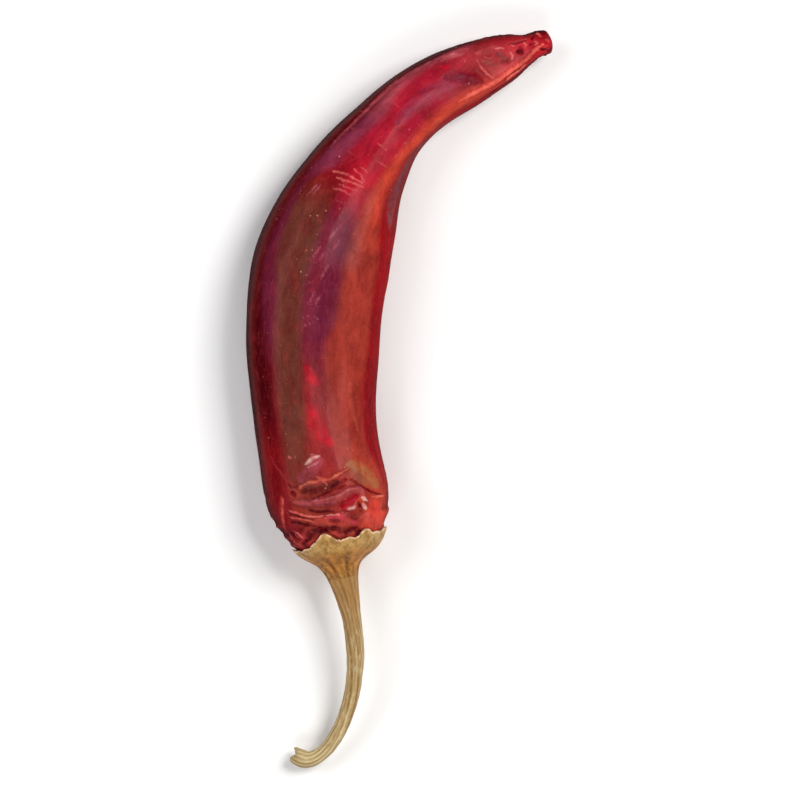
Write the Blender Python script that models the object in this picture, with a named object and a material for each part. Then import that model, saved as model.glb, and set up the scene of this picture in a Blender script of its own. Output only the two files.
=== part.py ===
"""A dried red chilli, lying on its side: the pod, the calyx that caps it, and the stem.

The pod leaves the calyx towards +Y and bends towards +X. Lengths here are millimetres, turned to
metres as the meshes are made. A place on a part is a distance along its axis from the calyx's rim
and an angle around it in degrees: 0 is the inner side of the bend, 90 the top, 180 the outer side
and 270 the underside.
"""

import math

import bmesh
import bpy
import numpy as np
from mathutils import Vector, noise

MM = 0.001

# The middle of the calyx's rim, seen from above, which puts the part's box round the origin.
SEAT = (-13.65, -30.25)
FLOOR = 0.0
GAP = 0.35

# The pod's axis, as (distance, heading from +X) and (distance, height), and its cross-section.
POD_HEADINGS = ((-8, 98), (8, 103), (22, 98), (45, 87), (62, 75.5), (78, 63.5), (92, 52), (112, 27), (136, 17))
POD_HEIGHTS = ((-8, 11.3), (8, 10.7), (22, 10.2), (58, 10.3), (84, 8.8), (100, 7.7), (115, 7.2), (136, 6.4))
POD_HALF_WIDTHS = (
    (0, 10.1), (1, 10.3), (3, 11.7), (6, 13.1), (11, 13.8), (24, 13.3), (45, 14.8), (58, 15.0),
    (70, 13.8), (84, 10.6), (95, 8.2), (115, 6.6), (125, 5.2), (132, 2.9), (134, 2.75),
)
POD_HALF_HEIGHTS = (
    (0, 9.4), (10, 10.6), (24, 10.5), (45, 10.8), (58, 10.9),
    (70, 10.2), (84, 8.8), (100, 7.2), (115, 5.8), (125, 4.4), (134, 2.5),
)
POD_TIP = 135.6
TIP_BLUNT = 1.6
DOME_DEPTH = 5.8
DOME_POWER = 1.3
BOXINESS = 2.25

# Crests and hollows that run along the pod: (distance, angle) knots, height and half width.
FLUTES = (
    (((78, 48), (92, 45), (100, 42), (108, 50), (120, 54), (128, 62), (136, 76)), 1.1, 1.7),
    (((14, 28), (44, 26), (66, 24), (84, 15), (104, 24), (124, 34)), -0.15, 2.4),
    (((20, 76), (46, 73), (70, 70), (92, 66)), -0.35, 2.2),
    (((14, 98), (40, 94), (66, 90), (90, 84), (112, 92)), 0.50, 2.2),
    (((16, 124), (46, 122), (72, 120), (98, 122)), 0.40, 2.0),
    (((10, 147), (44, 148), (80, 146), (110, 140)), 0.70, 2.2),
    (((14, 166), (50, 168), (84, 166), (108, 162)), -0.45, 2.6),
    (((12, 198), (50, 206), (88, 200), (120, 204)), 0.55, 2.6),
    (((8, 330), (36, 338), (70, 328), (100, 336), (126, 330)), 0.80, 2.4),
    (((16, 306), (44, 312), (78, 304), (108, 312)), -0.50, 3.0),
)
FLUTE_FADE = 14

# Folds that run round the shoulder and the tip: (angle, distance) knots, height and half width.
FOLDS = (
    (((50, 15.0), (65, 14.2), (75, 13.5), (85, 12.8), (93, 13.2), (102, 13.1), (124, 11.8)), 0.65, 0.8),
    (((60, 12.6), (78, 11.5), (88, 11.0), (98, 10.9), (112, 11.3), (128, 11.8)), -1.30, 1.2),
    (((42, 8.0), (56, 8.4), (67, 9.3), (82, 8.2), (95, 8.3), (104, 8.5), (114, 9.0), (136, 10.4)), 0.95, 0.9),
    (((50, 6.4), (67, 6.8), (80, 6.0), (97, 6.7), (122, 7.6)), -0.95, 0.8),
    (((50, 2.4), (62, 2.3), (69, 2.7), (80, 4.2), (97, 4.9), (117, 6.3), (146, 8.8)), 0.80, 0.8),
    (((92, 2.6), (108, 3.3), (120, 4.3), (148, 5.8)), -0.90, 0.9),
    (((24, 0.6), (52, 1.0), (66, 1.5), (80, 0.9), (94, 1.8), (106, 2.4), (122, 0.6), (156, -0.4)), -1.10, 1.0),
    (((186, 9.0), (206, 7.0), (236, 8.2), (262, 6.6)), 0.70, 0.9),
    (((190, 6.2), (214, 4.2), (246, 5.0), (270, 3.6)), -0.90, 0.9),
    (((284, 8.0), (310, 10.4), (334, 8.2)), 0.70, 0.9),
    (((280, 4.6), (306, 6.6), (332, 4.8)), -0.95, 1.0),
    (((84, 117.5), (108, 119.0), (136, 117.0)), -0.45, 0.9),
    (((96, 123.6), (120, 122.2), (150, 124.2)), -0.50, 0.8),
    (((70, 129.0), (110, 130.4), (160, 128.6)), -0.55, 0.8),
    (((200, 121.0), (250, 123.0), (310, 120.6)), -0.45, 1.0),
    (((190, 129.4), (260, 128.0), (340, 129.8)), -0.50, 0.9),
)
FOLD_FADE = 14

# Puckers drawn in by the calyx, and the lobes that the tip shrank to.
PUCKERS = 11
PUCKER_DEPTH = 0.45
PUCKER_REACH = 9.0
TIP_LOBES = 3
TIP_LOBE_HEIGHT = 0.55
TIP_LOBE_REACH = 7.0
UNEVEN_HEIGHT = 0.55
UNEVEN_SPAN = 15.0

# The calyx, as (distance, half width) outside, and how far its rim reaches at each angle.
CALYX_OUTSIDE = (
    (-7.4, 3.95), (-6.3, 4.65), (-5.6, 5.4), (-5.0, 6.3), (-4.0, 7.9), (-2.6, 9.3), (-1.2, 10.35), (0, 11.0),
)
CALYX_LIP = 0.55
CALYX_DISH = 0.3
CALYX_FLATTENING = 0.955
CALYX_RIM = (
    (0, 0.2), (22, -0.3), (40, -0.4), (54, 0.5), (68, -0.8), (77, -0.3), (87, -0.7), (103, 1.4),
    (118, -0.2), (132, -1.4), (146, -1.6), (164, -1.5), (184, -1.1), (204, -1.4), (228, -1.2),
    (248, 1.0), (266, -0.7), (290, -1.2), (314, 0.9), (334, -0.9), (360, 0.2),
)
CALYX_CREASES = 10
CALYX_CREASE_DEPTH = 0.16

# The stem's axis and half width, by distance from the rim away from the pod.
STEM_HEADINGS = (
    (0, -87), (10, -77.2), (22, -83.7), (34, -100.3), (44, -117.2), (49, -134),
    (52.7, -161.5), (55.4, -204.5), (58, -211),
)
STEM_HEIGHTS = ((0, 11.0), (12, 11.2), (26, 9.9), (40, 6.9), (50, 4.5), (58, 3.5))
STEM_HALF_WIDTHS = (
    (7.7, 3.85), (8.8, 3.45), (10.5, 3.1), (13.3, 2.65), (18.5, 2.1), (26, 1.95), (33, 1.8),
    (40, 1.65), (46, 1.58), (50, 1.6), (53, 1.78), (55.2, 1.95), (57.4, 1.72),
)
STEM_END = 57.4
STEM_RIBS = 7
STEM_RIB_DEPTH = 0.17
STEM_TWIST = 2.2
SCAR_DEPTH = 0.9

POD_SIDES = 44
POD_SPACING = ((0, 0.8), (17, 0.9), (28, 2.2), (100, 2.2), (114, 1.3), (134, 1.0))
DOME_RINGS = 5
CALYX_SIDES = 48
STEM_SIDES = 28
STEM_SPACING = ((7.7, 0.8), (14, 1.8), (44, 1.5), (53, 0.7), (57, 0.6))

POD_RED = (0.20, 0.012, 0.016, 1.0)
CALYX_TAN = (0.42, 0.28, 0.11, 1.0)
STEM_STRAW = (0.48, 0.33, 0.13, 1.0)


def curve(knots, places):
    """Values at the places on a smooth line through (place, value) knots that never overshoots one."""
    xs, ys = np.array(knots, float).T
    slopes = np.diff(ys) / np.diff(xs)
    same_way = slopes[:-1] * slopes[1:] > 0
    total = np.where(same_way, slopes[:-1] + slopes[1:], 1.0)
    inner = np.where(same_way, 2 * slopes[:-1] * slopes[1:] / total, 0.0)
    tangents = np.concatenate([slopes[:1], inner, slopes[-1:]])
    x = np.clip(places, xs[0], xs[-1])
    i = np.clip(np.searchsorted(xs, x, side="right") - 1, 0, len(xs) - 2)
    span = xs[i + 1] - xs[i]
    t = (x - xs[i]) / span
    before = (1 + 2 * t) * (1 - t) ** 2 * ys[i] + t * (1 - t) ** 2 * span * tangents[i]
    return before + t * t * (3 - 2 * t) * ys[i + 1] - t * t * (1 - t) * span * tangents[i + 1]


def ease(values, low, high):
    """0 below low and 1 above high, with a smooth rise between them."""
    t = np.clip((values - low) / (high - low), 0, 1)
    return t * t * (3 - 2 * t)


def between(values, low, high, fade):
    """1 well inside low to high, fading to 0 at both ends."""
    return ease(values, low, low + fade) * (1 - ease(values, high - fade, high))


def turned(angles, centre):
    """How far angles are from a centre the short way round, in degrees."""
    return (angles - centre + 180) % 360 - 180


def stations(spacing, first, last):
    """Distances from first to last, a step apart that the spacing knots give."""
    found = [first]
    while found[-1] < last:
        found.append(found[-1] + float(curve(spacing, found[-1])))
    found = np.array(found)
    return first + (found - first) * (last - first) / (found[-1] - first)


class Axis:
    """A line seen from above by its headings and from the side by its heights."""

    STEP = 0.05

    def __init__(self, headings, heights):
        self.heights = heights
        self.headings = headings
        self.at = np.arange(headings[0][0], headings[-1][0], self.STEP)
        way = np.radians(curve(headings, self.at))
        x = np.cumsum(np.cos(way)) * self.STEP
        y = np.cumsum(np.sin(way)) * self.STEP
        self.x = x - np.interp(0, self.at, x) + SEAT[0]
        self.y = y - np.interp(0, self.at, y) + SEAT[1]

    def place(self, along, side, rise):
        """Points beside and above the axis; side is to the right of the way that it runs."""
        along, side, rise = np.broadcast_arrays(along, side, rise)
        way = np.radians(curve(self.headings, along))
        x = np.interp(along, self.at, self.x) + np.sin(way) * side
        y = np.interp(along, self.at, self.y) - np.cos(way) * side
        z = curve(self.heights, along) + rise
        return np.stack([x, y, z], axis=-1)


def uneven(along, around, radius):
    """Slow swells and hollows, the same all the way round."""
    found = np.empty(np.broadcast_shapes(along.shape, around.shape))
    for row, distance in enumerate(along[:, 0]):
        for column, angle in enumerate(np.radians(around[0])):
            reach = radius[row, 0] / UNEVEN_SPAN
            spot = (math.cos(angle) * reach, math.sin(angle) * reach, distance / UNEVEN_SPAN / 1.6)
            found[row, column] = noise.noise(Vector(spot))
    return found * UNEVEN_HEIGHT


def pod_relief(along, around, radius):
    """How far the dried skin stands out from the plain section, by crests, folds and puckers."""
    relief = uneven(along, around, radius)
    for knots, height, half_width in FLUTES:
        across = np.radians(turned(around, curve(knots, along))) * radius
        reach = between(along, knots[0][0], knots[-1][0], FLUTE_FADE)
        relief = relief + height * reach / (1 + (across / half_width) ** 2)
    for knots, height, half_width in FOLDS:
        across = along - curve(knots, around)
        reach = between(around, knots[0][0], knots[-1][0], FOLD_FADE)
        relief = relief + height * reach / (1 + (across / half_width) ** 2)
    pucker = np.abs(np.sin(np.radians(around * PUCKERS / 2 + 30)))
    relief = relief - PUCKER_DEPTH * (1 - pucker) * (1 - ease(along, 0, PUCKER_REACH))
    lobe = np.cos(np.radians((around - 66) * TIP_LOBES))
    relief = relief + TIP_LOBE_HEIGHT * lobe * ease(along, POD_TIP - TIP_LOBE_REACH, POD_TIP)
    under_calyx = ease(along, -0.5, 5.0)
    return np.where(relief > 0, relief * under_calyx, relief * ease(along, -1.5, 0.5))


def dome(along, depth):
    """How wide the pod's end is under the calyx, as a share of its width at the rim."""
    return np.sqrt(np.clip(1 - (np.clip(-along, 0, depth) / depth) ** DOME_POWER, 0, 1))


def pod_grid(rows, sides):
    """Rings of the pod's surface at the distances in rows."""
    along = np.asarray(rows, float)[:, None]
    around = (np.arange(sides) * 360 / sides)[None, :]
    angle = np.radians(around)
    tip = np.sqrt(np.clip(1 - (np.maximum(along - POD_TIP + TIP_BLUNT, 0) / TIP_BLUNT) ** 2, 0, 1))
    ends = dome(along, DOME_DEPTH) * tip
    half_width = curve(POD_HALF_WIDTHS, along) * ends
    half_height = curve(POD_HALF_HEIGHTS, along) * ends
    square = (np.abs(np.cos(angle)) ** BOXINESS + np.abs(np.sin(angle)) ** BOXINESS) ** (-1 / BOXINESS)
    side = half_width * np.cos(angle) * square
    rise = half_height * np.sin(angle) * square
    relief = pod_relief(along, around, (half_width + half_height) / 2) * ends
    out_side = np.cos(angle) * half_height
    out_rise = np.sin(angle) * half_width
    length = np.hypot(out_side, out_rise) + 1e-9
    points = Axis(POD_HEADINGS, POD_HEIGHTS).place(
        along, side + relief * out_side / length, rise + relief * out_rise / length
    )
    points[..., 2] = np.maximum(points[..., 2], FLOOR)
    return points


def calyx_grid(sides):
    """Rings from the middle of the calyx's base, out to its rim and back along the inside."""
    around = np.arange(sides) * 360 / sides
    angle = np.radians(around)
    rim = curve(CALYX_RIM, around)
    crease = CALYX_CREASE_DEPTH * np.abs(np.sin(np.radians(around * CALYX_CREASES / 2)))
    base = CALYX_OUTSIDE[0][0]
    deep = -(DOME_DEPTH + GAP)
    rows = [(base + CALYX_DISH, 2.0)]
    for share in (0, 0.16, 0.27, 0.38, 0.52, 0.70, 0.86, 1.0):
        along = base + (rim - base) * share
        rows.append((along, curve(CALYX_OUTSIDE, along) + crease * ease(share, 0.4, 1.0)))
    rows.append((rim + CALYX_LIP / 2, curve(CALYX_OUTSIDE, rim) - CALYX_LIP / 2 + crease))
    for share in (1.0, 0.82, 0.64, 0.46, 0.30, 0.15, 0.04):
        along = deep + (rim - deep) * share
        rows.append((along, (POD_HALF_WIDTHS[0][1] + GAP) * dome(along, -deep)))
    axis = Axis(POD_HEADINGS, POD_HEIGHTS)
    points = []
    for along, half_width in rows:
        side = half_width * np.cos(angle)
        rise = half_width * CALYX_FLATTENING * np.sin(angle)
        points.append(axis.place(along, side, rise))
    return np.array(points)


def stem_grid(rows, sides):
    """Rings of the ribbed stem, from its broad top to its curled, cut end."""
    along = np.asarray(rows, float)[:, None]
    around = (np.arange(sides) * 360 / sides)[None, :]
    half_width = curve(STEM_HALF_WIDTHS, along)
    rib = np.abs(np.cos(np.radians((around + STEM_TWIST * along) * STEM_RIBS / 2)))
    half_width = half_width - STEM_RIB_DEPTH * (1 - rib) * ease(along, 7.7, 12)
    angle = np.radians(around)
    return Axis(STEM_HEADINGS, STEM_HEIGHTS).place(
        along, -half_width * np.cos(angle), half_width * np.sin(angle)
    )


def material(name, colour, roughness):
    made = bpy.data.materials.new(name)
    made.use_nodes = True
    shader = made.node_tree.nodes["Principled BSDF"]
    shader.inputs["Base Color"].default_value = colour
    shader.inputs["Roughness"].default_value = roughness
    shader.inputs["Metallic"].default_value = 0.0
    return made


def skin(name, rings, first, last, finish, collection, parent):
    """A solid whose surface runs over a grid of rings and closes on one point at each end."""
    count, sides, _ = rings.shape
    points = [first, *rings.reshape(-1, 3), last]
    end = len(points) - 1
    faces = []
    for side in range(sides):
        beside = (side + 1) % sides
        faces.append((0, 1 + beside, 1 + side))
        for row in range(count - 1):
            here = 1 + row * sides
            faces.append((here + side, here + beside, here + sides + beside, here + sides + side))
        top = 1 + (count - 1) * sides
        faces.append((top + side, top + beside, end))
    mesh = bpy.data.meshes.new(name)
    mesh.from_pydata([Vector(point) * MM for point in points], [], faces)
    shape = bmesh.new()
    shape.from_mesh(mesh)
    bmesh.ops.recalc_face_normals(shape, faces=shape.faces)
    shape.to_mesh(mesh)
    shape.free()
    mesh.shade_smooth()
    mesh.set_sharp_from_angle(angle=math.radians(50))
    mesh.materials.append(finish)
    made = bpy.data.objects.new(name, mesh)
    made.parent = parent
    collection.objects.link(made)
    return made


def make_pod(collection, parent):
    under = -DOME_DEPTH * np.cos(np.linspace(0, math.pi / 2, DOME_RINGS + 1)[1:-1] * 0.98)
    body = stations(POD_SPACING, 0.0, POD_TIP - TIP_BLUNT)
    blunt = POD_TIP - TIP_BLUNT + TIP_BLUNT * np.array([0.5, 0.85])
    rings = pod_grid(np.concatenate([under, body, blunt]), POD_SIDES)
    axis = Axis(POD_HEADINGS, POD_HEIGHTS)
    first = axis.place(-DOME_DEPTH, 0, 0)
    last = axis.place(POD_TIP, 0, 0)
    finish = material("dried_red_skin", POD_RED, 0.32)
    return skin("pod", rings, first, last, finish, collection, parent)


def make_calyx(collection, parent):
    axis = Axis(POD_HEADINGS, POD_HEIGHTS)
    first = axis.place(CALYX_OUTSIDE[0][0] + 1.4 * CALYX_DISH, 0, 0)
    last = axis.place(-(DOME_DEPTH + GAP), 0, 0)
    finish = material("dried_calyx", CALYX_TAN, 0.8)
    return skin("calyx", calyx_grid(CALYX_SIDES), first, last, finish, collection, parent)


def make_stem(collection, parent):
    rows = stations(STEM_SPACING, STEM_HALF_WIDTHS[0][0], STEM_END)
    axis = Axis(STEM_HEADINGS, STEM_HEIGHTS)
    first = axis.place(rows[0], 0, 0)
    last = axis.place(STEM_END - SCAR_DEPTH, 0, 0)
    finish = material("dried_stem", STEM_STRAW, 0.7)
    return skin("stem", stem_grid(rows, STEM_SIDES), first, last, finish, collection, parent)


def main():
    for old in list(bpy.data.objects):
        bpy.data.objects.remove(old)
    collection = bpy.data.collections.new("dried_chilli")
    bpy.context.scene.collection.children.link(collection)
    chilli = bpy.data.objects.new("chilli", None)
    collection.objects.link(chilli)
    make_pod(collection, chilli)
    make_calyx(collection, chilli)
    make_stem(collection, chilli)


main()
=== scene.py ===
"""A dried red chilli on a pale floor: glossy creased pod, papery calyx and ribbed stem.

The pod leaves the calyx towards +Y and bends towards +X. Lengths here are millimetres, turned to
metres as the meshes are made. A place on a part is a distance along its axis from the calyx's rim
and an angle around it in degrees: 0 is the inner side of the bend, 90 the top, 180 the outer side
and 270 the underside.
"""

import math

import bmesh
import bpy
import numpy as np
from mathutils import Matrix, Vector, noise

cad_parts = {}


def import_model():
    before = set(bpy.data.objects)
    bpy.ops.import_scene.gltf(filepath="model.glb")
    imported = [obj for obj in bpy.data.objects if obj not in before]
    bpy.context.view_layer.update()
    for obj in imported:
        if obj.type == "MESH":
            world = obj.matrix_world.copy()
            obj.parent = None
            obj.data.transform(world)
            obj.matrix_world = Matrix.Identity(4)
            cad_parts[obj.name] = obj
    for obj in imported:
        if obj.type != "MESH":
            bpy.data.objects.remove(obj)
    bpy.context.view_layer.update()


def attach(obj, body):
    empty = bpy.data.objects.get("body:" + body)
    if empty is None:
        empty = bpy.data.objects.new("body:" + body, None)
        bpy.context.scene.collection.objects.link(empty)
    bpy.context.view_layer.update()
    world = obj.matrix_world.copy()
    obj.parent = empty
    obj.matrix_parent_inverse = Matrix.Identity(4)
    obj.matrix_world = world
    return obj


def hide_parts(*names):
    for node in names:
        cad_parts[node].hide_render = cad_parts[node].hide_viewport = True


MM = 0.001

# Where the pod leaves the calyx, seen from above, and how high the floor is.
SEAT = (-13.65, -30.25)
FLOOR = 0.0

# The photo's scale, the pixel of that place in it, and the pixel in the middle of the view.
PIXEL = 0.44
SEAT_PIXEL = (663.6, 645.3)
VIEW_PIXEL = (695, 577)
VIEW_CENTRE = (
    SEAT[0] + (VIEW_PIXEL[0] - SEAT_PIXEL[0]) * PIXEL,
    SEAT[1] + (SEAT_PIXEL[1] - VIEW_PIXEL[1]) * PIXEL,
)
VIEW_HEIGHT = 11
HALF_VIEW = 88
LENS = 300
SENSOR = 36

# The pod: which way its axis heads, in degrees from +X, its height and its half sizes, all by
# distance from the calyx's rim.
POD_HEADINGS = (
    (-8, 98), (8, 103), (22, 98), (45, 87), (62, 75.5), (78, 63.5), (92, 52), (112, 27), (136, 17),
)
POD_HEIGHTS = ((-8, 11.3), (8, 10.7), (22, 10.2), (58, 10.3), (84, 8.8), (100, 7.7), (115, 7.2), (136, 6.4))
POD_HALF_WIDTHS = (
    (0, 10.1), (1, 10.3), (3, 11.7), (6, 13.1), (11, 13.8), (24, 13.3), (45, 14.8), (58, 15.0),
    (70, 13.8), (84, 10.6), (95, 8.2), (115, 6.6), (125, 5.2), (132, 2.9), (134, 2.75),
)
POD_HALF_HEIGHTS = (
    (0, 9.4), (10, 10.6), (24, 10.5), (45, 10.8), (58, 10.9),
    (70, 10.2), (84, 8.8), (100, 7.2), (115, 5.8), (125, 4.4), (134, 2.5),
)
POD_TIP = 135.6
TIP_BLUNT = 1.6
DOME_DEPTH = 5.8
DOME_POWER = 1.3
BOXINESS = 2.25

# Crests and hollows that run along the pod: (distance, angle) knots, height and half width.
FLUTES = (
    (((78, 48), (92, 45), (100, 42), (108, 50), (120, 54), (128, 62), (136, 76)), 1.1, 1.7),
    (((14, 28), (44, 26), (66, 24), (84, 15), (104, 24), (124, 34)), -0.15, 2.4),
    (((20, 76), (46, 73), (70, 70), (92, 66)), -0.35, 2.2),
    (((14, 98), (40, 94), (66, 90), (90, 84), (112, 92)), 0.50, 2.2),
    (((16, 124), (46, 122), (72, 120), (98, 122)), 0.40, 2.0),
    (((10, 147), (44, 148), (80, 146), (110, 140)), 0.70, 2.2),
    (((14, 166), (50, 168), (84, 166), (108, 162)), -0.45, 2.6),
    (((12, 198), (50, 206), (88, 200), (120, 204)), 0.55, 2.6),
    (((8, 330), (36, 338), (70, 328), (100, 336), (126, 330)), 0.80, 2.4),
    (((16, 306), (44, 312), (78, 304), (108, 312)), -0.50, 3.0),
)
FLUTE_FADE = 14

# Folds that run round the shoulder and the tip: (angle, distance) knots, height and half width.
FOLDS = (
    (((186, 9.0), (206, 7.0), (236, 8.2), (262, 6.6)), 0.70, 0.9),
    (((190, 6.2), (214, 4.2), (246, 5.0), (270, 3.6)), -0.90, 0.9),
    (((284, 8.0), (310, 10.4), (334, 8.2)), 0.70, 0.9),
    (((280, 4.6), (306, 6.6), (332, 4.8)), -0.95, 1.0),
    (((200, 121.0), (250, 123.0), (310, 120.6)), -0.45, 1.0),
    (((190, 129.4), (260, 128.0), (340, 129.8)), -0.50, 0.9),
)
FOLD_FADE = 14

# Puckers under the rim, lobes round the tip, and slow swells.
PUCKERS = 11
PUCKER_DEPTH = 0.45
PUCKER_REACH = 9.0
TIP_LOBES = 3
TIP_LOBE_HEIGHT = 0.55
TIP_LOBE_REACH = 7.0
UNEVEN_HEIGHT = 0.55
UNEVEN_SPAN = 15.0

# The calyx: how flat its rim is, and where the rim lies, by angle.
CALYX_FLATTENING = 0.955
CALYX_RIM = (
    (0, 0.2), (22, -0.3), (40, -0.4), (54, 0.5), (68, -0.8), (77, -0.3), (87, -0.7), (103, 1.4),
    (118, -0.2), (132, -1.4), (146, -1.6), (164, -1.5), (184, -1.1), (204, -1.4), (228, -1.2),
    (248, 1.0), (266, -0.7), (290, -1.2), (314, 0.9), (334, -0.9), (360, 0.2),
)

# How much of the cup's length evens the rim out, its wall at the rim and what the neck adds to it,
# how wide it is inside at most, and where it ends on the stem.
RIM_SHARE = 0.62
CALYX_WALL = 0.42
CALYX_NECK_WALL = 0.5
CALYX_BORE = 10.45
CALYX_END = 9.2

# Nicks in the rim: how fine they are, where they are cut from the noise, and how deep.
RIM_NICKS = ((7, 2.5, 0.35), (19, 5.5, 0.16))

# The stem: its axis's headings and heights by distance, where it starts, bends over and ends.
STEM_HEADINGS = (
    (0, -87), (10, -77.2), (22, -83.7), (34, -100.3), (44, -117.2), (49, -134),
    (52.7, -161.5), (55.4, -204.5), (58, -211),
)
STEM_HEIGHTS = ((0, 11.0), (12, 11.2), (26, 9.9), (40, 6.9), (50, 4.5), (58, 3.5))
STEM_START = 8.4
STEM_END = 57.4
STEM_HOOK = 50
STEM_RADIUS = 2.0
STEM_TWIST = 2.2
SCAR_DEPTH = 0.9

# The grooves of the stem, which start on the calyx: where each is around it, and how deep.
GROOVES = (
    (6, 0.7), (34, 1.0), (64, 0.55), (86, 1.0), (104, 0.6), (127, 0.95), (151, 0.6), (178, 1.0),
    (207, 0.6), (236, 0.9), (262, 0.6), (290, 1.0), (318, 0.6), (340, 0.8),
)
GROOVE_WIDTH = 7.5

# How far the calyx and then the stem stand from their axis, by distance from the rim.
CUP = (
    (-1.4, 11.0), (0, 10.95), (1.2, 10.35), (2.6, 9.4), (4.0, 7.9), (5.0, 6.3), (5.6, 5.4),
    (6.3, 4.65), (7.4, 3.95), (8.8, 3.45), (10.5, 3.1), (13.3, 2.65), (18.5, 2.1), (26, 1.95),
    (33, 1.8), (40, 1.65), (46, 1.58), (50, 1.6), (53, 1.78), (55.2, 1.95), (57.4, 1.72),
)


def rgb(red, green, blue):
    """A linear colour from the 0 to 255 values of a screen's colour."""
    parts = np.array([red, green, blue]) / 255
    return np.where(parts <= 0.04045, parts / 12.92, ((parts + 0.055) / 1.055) ** 2.4)


# BLACKISH, DARK and OXBLOOD also darken creases and hollows as painted shade, and ROSE paints sheen.
BLACKISH = (70, 2, 10)
DARK = (88, 0, 10)
OXBLOOD = (126, 6, 18)
MAROON = (132, 26, 32)
CRIMSON = (160, 8, 20)
CHERRY = (184, 28, 52)
SCARLET = (196, 24, 44)
VERMILION = (204, 70, 50)
RUST = (164, 56, 44)
BROWN = (114, 48, 36)
OLIVE = (104, 52, 40)
PURPLE = (110, 30, 56)
MAUVE = (138, 50, 76)
ROSE = (188, 78, 92)
GREY = (126, 70, 76)
BRONZE = (176, 106, 66)
PALE = (220, 116, 90)
PINK = (222, 106, 102)
SCUFF = (226, 108, 102)
SCRATCH = (196, 104, 122)
FLANK_SHADE = (40, 0, 6)
INNER_SHADE = (84, 0, 10)

# Colour bands along the pod, from the inner side over the top and round underneath: where each
# starts, by (distance, angle) knots, and its colours by distance.
BANDS = (
    (((0, 0), (134, 0)),
     ((0, RUST), (16, CRIMSON), (34, (142, 4, 14)), (70, CRIMSON), (80, MAROON), (106, CRIMSON),
      (134, DARK))),
    (((0, 16), (12, 30), (20, 40), (30, 38), (50, 32), (60, 34), (70, 43), (80, 52), (90, 49), (100, 38),
      (108, 38), (116, 28), (134, 30)),
     ((0, VERMILION), (18, RUST), (66, RUST), (78, VERMILION), (112, VERMILION), (134, SCARLET))),
    # This band turns purple along the middle: the skin's colour with painted sheen of the sky in it.
    (((0, 60), (20, 74), (40, 75), (50, 68), (70, 68), (80, 65), (90, 61), (100, 55), (110, 57), (134, 70)),
     ((0, RUST), (18, (150, 42, 44)), (34, (144, 38, 44)), (44, PURPLE), (70, PURPLE), (80, (184, 20, 42)),
      (99, (180, 28, 54)), (108, (166, 26, 48)), (117, OXBLOOD), (122, (184, 62, 66)), (134, SCARLET))),
    (((0, 94), (20, 100), (40, 97), (60, 97), (78, 100), (92, 92), (134, 96)),
     ((0, RUST), (18, BROWN), (28, OLIVE), (70, OLIVE), (79, OXBLOOD), (90, CHERRY), (110, (168, 24, 48)),
      (120, (184, 58, 64)), (134, SCARLET))),
    # Purple, mauve and rose: the skin's colour with painted sheen of the sky in it.
    (((0, 124), (20, 122), (50, 122), (60, 128), (75, 130), (82, 113), (95, 109), (101, 122), (112, 130),
      (134, 128)),
     ((0, (150, 38, 44)), (20, (132, 22, 30)), (36, (104, 12, 24)), (46, PURPLE), (76, PURPLE), (84, MAUVE),
      (92, MAUVE), (99, ROSE), (115, ROSE), (120, OXBLOOD), (134, CRIMSON))),
    # The outer flank: painted shade.
    (((0, 141), (18, 130), (30, 128), (40, 131), (50, 136), (60, 139), (70, 136), (84, 132), (95, 130),
      (112, 139), (134, 152)),
     ((0, OXBLOOD), (20, (126, 12, 20)), (30, BLACKISH), (134, BLACKISH))),
    (((0, 196), (134, 200)),
     ((0, RUST), (20, OXBLOOD), (60, DARK), (100, OXBLOOD), (134, CRIMSON))),
    (((0, 236), (60, 228), (134, 238)),
     ((0, RUST), (20, OXBLOOD), (60, PURPLE), (100, MAUVE), (134, CRIMSON))),
    (((0, 272), (60, 266), (134, 270)),
     ((0, RUST), (20, BROWN), (60, OLIVE), (100, OXBLOOD), (134, CRIMSON))),
    (((0, 304), (60, 310), (134, 300)),
     ((0, VERMILION), (20, CRIMSON), (60, CRIMSON), (100, OXBLOOD), (134, DARK))),
)
BAND_BLUR = 1.2
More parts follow.
